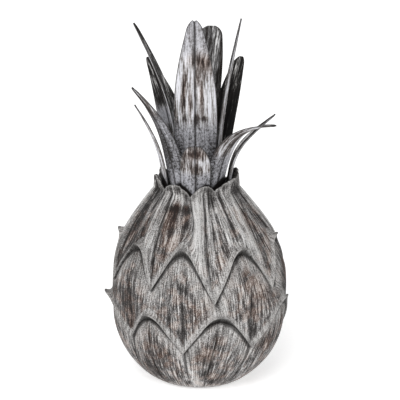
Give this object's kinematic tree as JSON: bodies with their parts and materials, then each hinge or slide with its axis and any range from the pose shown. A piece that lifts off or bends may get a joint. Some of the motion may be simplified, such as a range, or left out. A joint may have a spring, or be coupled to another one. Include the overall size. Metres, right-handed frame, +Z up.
{
  "type": "pineapple ornament",
  "caption": "Standing pineapple ornament: a moulded body of overlapping pointed petals under a crown of thin creased leaves, for a shelf, table or gatepost.",
  "frame": {"origin": "centre of the flat underside", "axes": "+Z up the ornament, -Y towards the front seen in the picture, +X to the right of that view"},
  "size_m": [0.2294, 0.2302, 0.4524],
  "materials": {
    "body": "moulded resin, brushed with a grey-brown weathered wash, rubbed pale on the rims",
    "leaf": "thin creased sheet, same grey wash streaked over dark brown, darker inside"
  },
  "bodies": {
    "root": {"pineapple_body": "body", "tall_leaf_front": "leaf", "tall_leaf_right": "leaf", "tall_leaf_back": "leaf", "tall_leaf_left": "leaf", "middle_leaf_front_right": "leaf", "middle_leaf_back_right": "leaf", "middle_leaf_back_left": "leaf", "middle_leaf_front_left": "leaf", "short_leaf_front": "leaf", "short_leaf_right": "leaf", "short_leaf_back": "leaf", "short_leaf_left": "leaf"}
  },
  "joints": []
}
